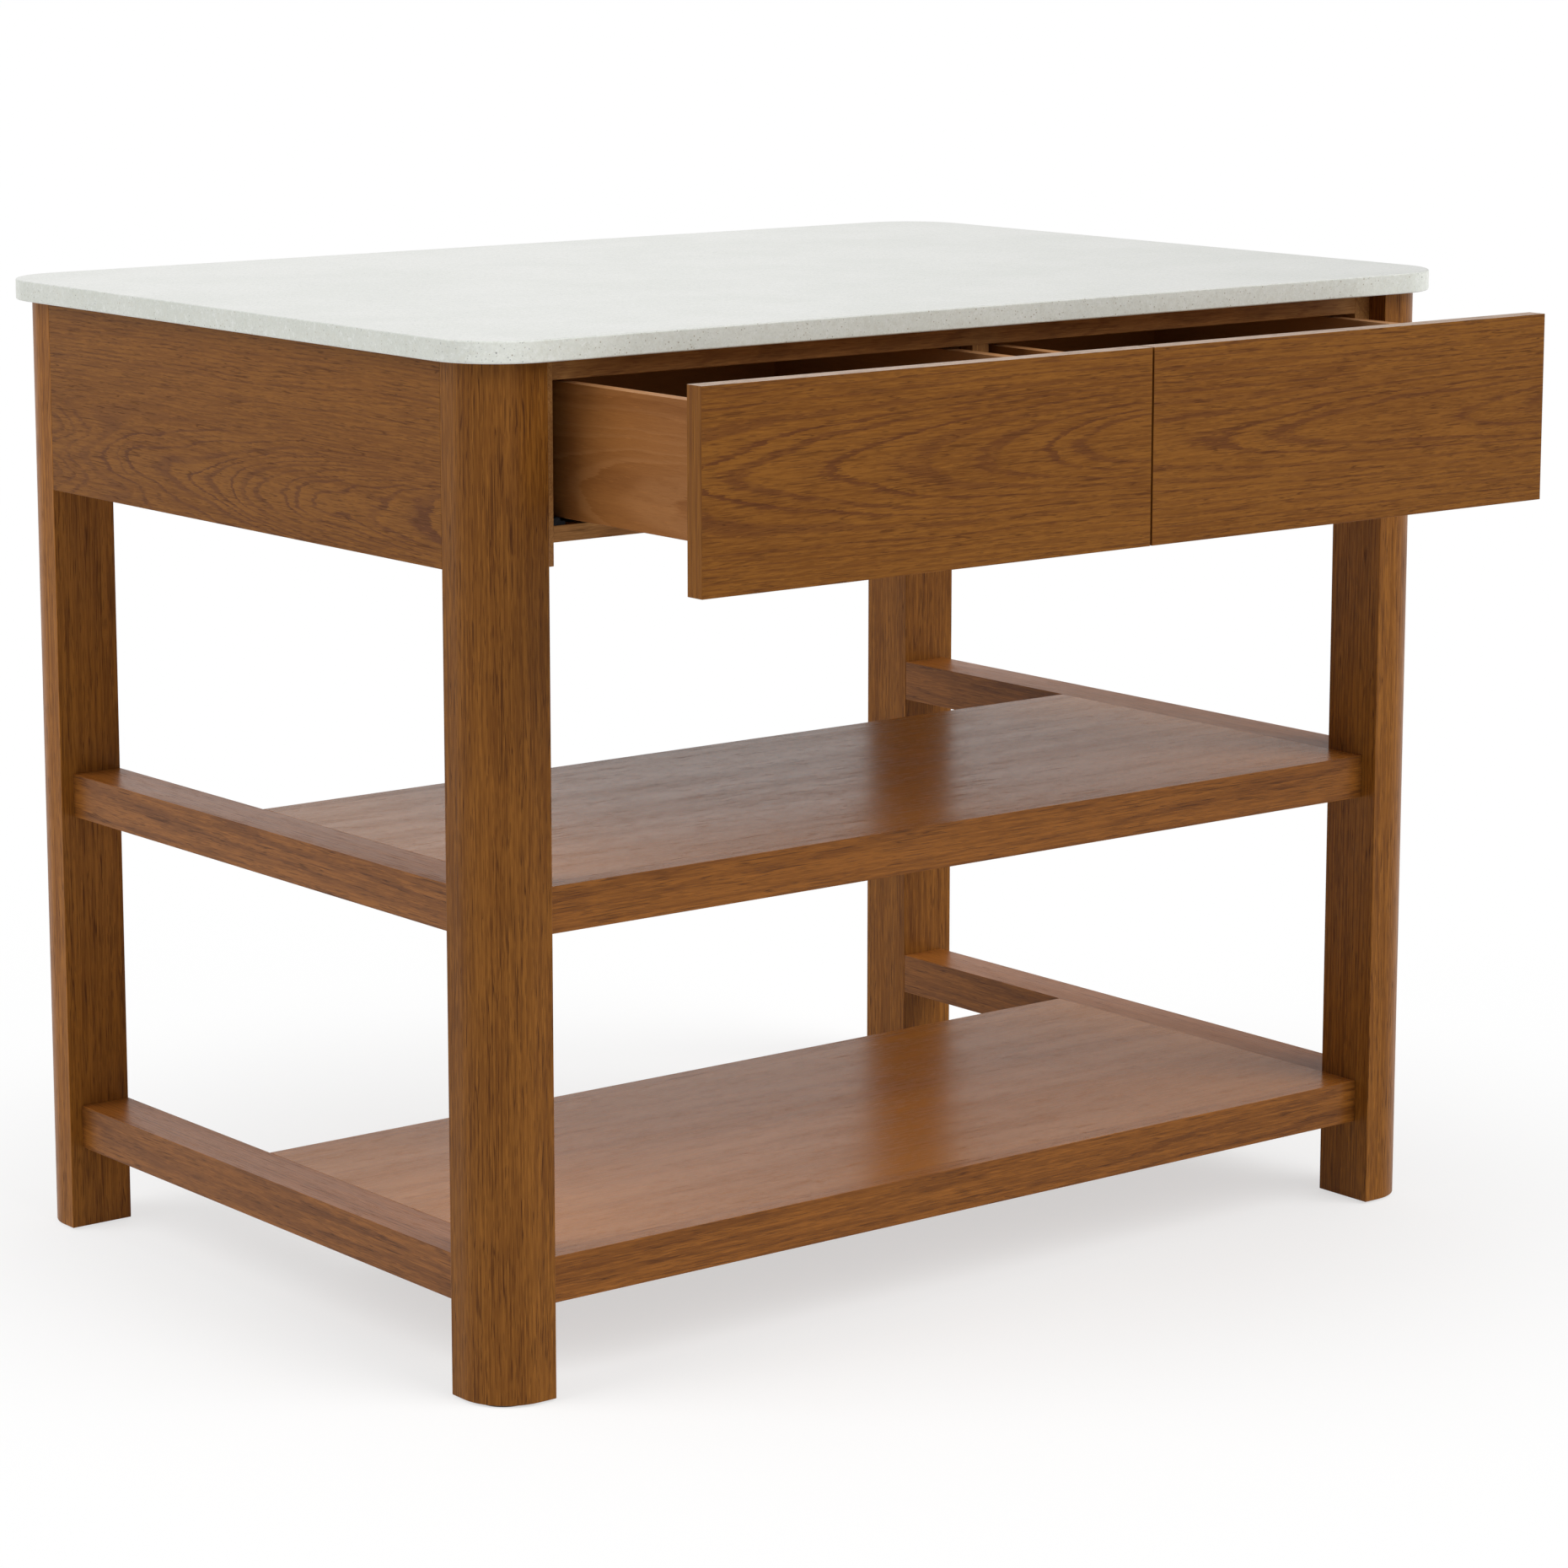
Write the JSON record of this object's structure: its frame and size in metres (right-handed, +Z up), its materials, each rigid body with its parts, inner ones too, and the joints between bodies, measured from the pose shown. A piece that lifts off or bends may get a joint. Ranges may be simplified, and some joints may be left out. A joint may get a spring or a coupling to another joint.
{
  "type": "kitchen island unit",
  "caption": "Open kitchen island on square legs with one round corner each: stone worktop, drawers side by side on full-extension slides, open shelves below, open knee space behind.",
  "frame": {"origin": "on the floor, at the bottom centre of the box around the unit at rest, with both drawers standing open 203 mm; the middle of the legs and of the worktop lies 93.5 mm behind it, at +Y", "axes": "+Z up, +X along the unit's long side, to the right of someone facing the drawers, and the drawers open towards -Y"},
  "size_m": [1.122, 0.981, 0.902],
  "materials": {
    "stone": "honed white quartz with fine grey, black and tan specks",
    "oak_leg": "stained oak, upright open grain, satin",
    "oak_apron": "stained oak, long grain with a flame figure, satin",
    "oak_rail": "stained oak, long grain, satin",
    "oak_shelf": "stained oak veneer, grain along the length, satin",
    "oak_front": "stained oak, cathedral grain along the length, satin",
    "oak_case": "stained oak, satin",
    "drawer_wood": "smooth reddish brown stained hardwood, satin",
    "drawer_panel": "stained plywood, satin",
    "plain_wood": "bare hardwood",
    "black_steel": "black coated sheet steel",
    "bright_steel": "zinc plated steel",
    "black_nylon": "black moulded nylon",
    "felt": "grey pressed felt"
  },
  "bodies": {
    "frame": {"worktop": "stone", "leg_front_left": "oak_leg", "leg_front_right": "oak_leg", "leg_back_left": "oak_leg", "leg_back_right": "oak_leg", "leg_glides": "felt", "end_apron_left": "oak_apron", "end_apron_right": "oak_apron", "back_apron": "oak_apron", "mid_rail_left": "oak_rail", "mid_rail_right": "oak_rail", "low_rail_left": "oak_rail", "low_rail_right": "oak_rail", "mid_shelf_panel": "oak_shelf", "mid_shelf_front_edge": "oak_shelf", "mid_shelf_back_edge": "oak_shelf", "low_shelf_panel": "oak_shelf", "low_shelf_front_edge": "oak_shelf", "low_shelf_back_edge": "oak_shelf", "shelf_cleats": "oak_case", "shelf_screws": "bright_steel", "frame_dowels": "plain_wood", "corner_blocks": "plain_wood", "leg_bolts": "bright_steel", "case_side_left": "oak_case", "case_side_right": "oak_case", "case_divider": "oak_case", "case_back": "oak_case", "case_top_rail": "oak_case", "case_bottom_rail": "oak_case", "case_stile": "oak_case", "case_screws": "bright_steel", "worktop_brackets": "bright_steel", "slide_end_caps": "black_nylon", "left_slide_case_rails": "black_steel", "right_slide_case_rails": "black_steel"},
    "left_drawer": {"left_drawer_front": "oak_front", "left_drawer_box_front": "drawer_wood", "left_drawer_box_back": "drawer_wood", "left_drawer_side_outer": "drawer_wood", "left_drawer_side_inner": "drawer_wood", "left_drawer_bottom": "drawer_panel", "left_drawer_rails": "black_steel", "left_drawer_screws": "bright_steel", "left_drawer_bumpers": "felt"},
    "left_slide_middle": {"left_slide_mid_rails": "black_steel"},
    "left_case_cage": {"left_slide_case_cages": "bright_steel"},
    "left_drawer_cage": {"left_slide_drawer_cages": "bright_steel"},
    "right_drawer": {"right_drawer_front": "oak_front", "right_drawer_box_front": "drawer_wood", "right_drawer_box_back": "drawer_wood", "right_drawer_side_outer": "drawer_wood", "right_drawer_side_inner": "drawer_wood", "right_drawer_bottom": "drawer_panel", "right_drawer_rails": "black_steel", "right_drawer_screws": "bright_steel", "right_drawer_bumpers": "felt"},
    "right_slide_middle": {"right_slide_mid_rails": "black_steel"},
    "right_case_cage": {"right_slide_case_cages": "bright_steel"},
    "right_drawer_cage": {"right_slide_drawer_cages": "bright_steel"}
  },
  "joints": [
    {"name": "left_drawer_slide", "type": "slide", "parent": "frame", "child": "left_drawer", "axis": [0, -1, 0], "range_m": [-0.203, 0.247]},
    {"name": "left_slide_middle_slide", "type": "slide", "parent": "frame", "child": "left_slide_middle", "axis": [0, -1, 0], "range_m": [-0.1015, 0.1235]},
    {"name": "left_case_cage_slide", "type": "slide", "parent": "frame", "child": "left_case_cage", "axis": [0, -1, 0], "range_m": [-0.05075, 0.06175]},
    {"name": "left_drawer_cage_slide", "type": "slide", "parent": "frame", "child": "left_drawer_cage", "axis": [0, -1, 0], "range_m": [-0.15225, 0.18525]},
    {"name": "right_drawer_slide", "type": "slide", "parent": "frame", "child": "right_drawer", "axis": [0, -1, 0], "range_m": [-0.203, 0.247]},
    {"name": "right_slide_middle_slide", "type": "slide", "parent": "frame", "child": "right_slide_middle", "axis": [0, -1, 0], "range_m": [-0.1015, 0.1235]},
    {"name": "right_case_cage_slide", "type": "slide", "parent": "frame", "child": "right_case_cage", "axis": [0, -1, 0], "range_m": [-0.05075, 0.06175]},
    {"name": "right_drawer_cage_slide", "type": "slide", "parent": "frame", "child": "right_drawer_cage", "axis": [0, -1, 0], "range_m": [-0.15225, 0.18525]}
  ],
  "couplings": [
    {"joint": "left_slide_middle_slide", "follows": "left_drawer_slide", "ratio": 0.5},
    {"joint": "left_case_cage_slide", "follows": "left_drawer_slide", "ratio": 0.25},
    {"joint": "left_drawer_cage_slide", "follows": "left_drawer_slide", "ratio": 0.75},
    {"joint": "right_slide_middle_slide", "follows": "right_drawer_slide", "ratio": 0.5},
    {"joint": "right_case_cage_slide", "follows": "right_drawer_slide", "ratio": 0.25},
    {"joint": "right_drawer_cage_slide", "follows": "right_drawer_slide", "ratio": 0.75}
  ]
}
